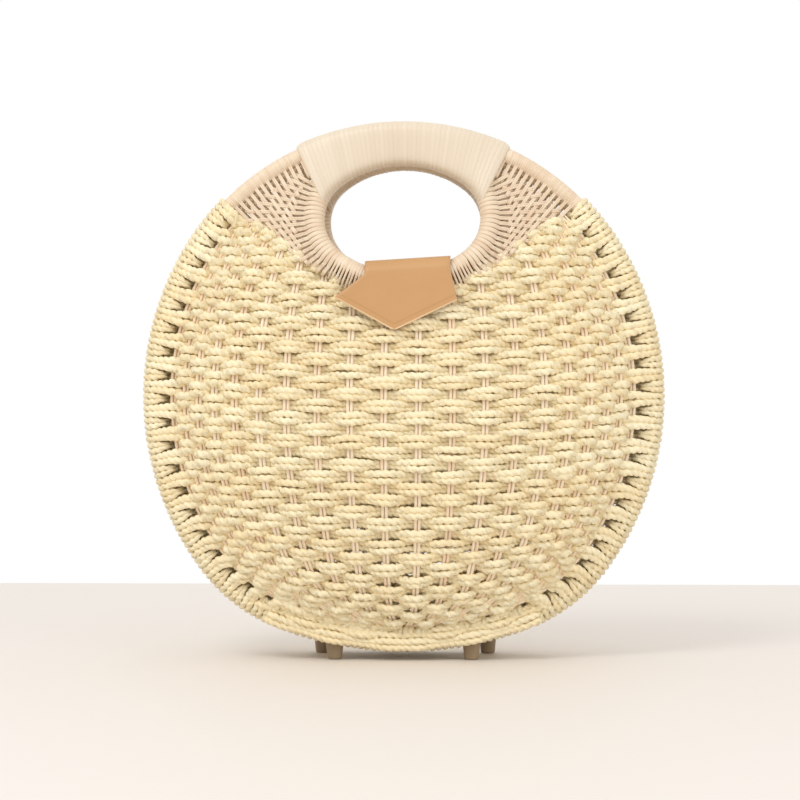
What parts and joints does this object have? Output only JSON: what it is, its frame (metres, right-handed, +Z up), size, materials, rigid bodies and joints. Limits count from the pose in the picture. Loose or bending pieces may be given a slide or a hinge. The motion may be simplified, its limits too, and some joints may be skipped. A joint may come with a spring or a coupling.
{
  "type": "round woven handbag",
  "caption": "Round basket bag of woven rope on rattan hoops, with oval handle rings, peg feet and a leather closing strap.",
  "frame": {"origin": "on the table, under the middle of the bag", "axes": "+Z up, front towards -Y, +X to the right as seen from the front"},
  "size_m": [0.294, 0.114, 0.3025],
  "materials": {
    "rattan_rod": "smooth peeled rattan",
    "foot_wood": "turned pale wood",
    "grip_cane": "flat cane, satin",
    "woven_cane": "split cane, satin",
    "paper_rope": "twisted paper rope, matt",
    "tan_leather": "fine grain",
    "leather_back": "suede side",
    "brass_fittings": "brushed"
  },
  "bodies": {
    "basket": {"front_hoop": "rattan_rod", "back_hoop": "rattan_rod", "front_handle_ring": "rattan_rod", "back_handle_ring": "rattan_rod", "front_stakes": "rattan_rod", "back_stakes": "rattan_rod", "gusset_stakes": "rattan_rod", "foot_front_left": "foot_wood", "foot_front_right": "foot_wood", "foot_back_left": "foot_wood", "foot_back_right": "foot_wood", "front_grip_wrap": "grip_cane", "back_grip_wrap": "grip_cane", "front_ring_wrap": "woven_cane", "back_ring_wrap": "woven_cane", "front_rim_cane": "woven_cane", "back_rim_cane": "woven_cane", "front_left_corner_weave": "woven_cane", "front_right_corner_weave": "woven_cane", "back_left_corner_weave": "woven_cane", "back_right_corner_weave": "woven_cane", "front_rim_cord": "paper_rope", "back_rim_cord": "paper_rope", "front_panel": "paper_rope", "back_panel": "paper_rope", "gusset": "paper_rope", "snap_socket": "brass_fittings", "snap_washer": "brass_fittings"},
    "strap": {"closure_strap": "tan_leather", "strap_rivets": "brass_fittings", "strap_crease": "tan_leather"},
    "tab": {"tab_leather": "tan_leather", "tab_lining": "leather_back", "snap_plate": "brass_fittings"}
  },
  "joints": [
    {"name": "strap_lift", "type": "hinge", "parent": "basket", "child": "strap", "pos_m": [0, 0.0401, 0.21216], "axis": [-1, 0, 0], "range_deg": [0, 30]},
    {"name": "tab_open", "type": "hinge", "parent": "strap", "child": "tab", "pos_m": [0, -0.04617, 0.22488], "axis": [-1, 0, 0], "range_deg": [0, 90], "deforming": ["strap_crease"]}
  ]
}
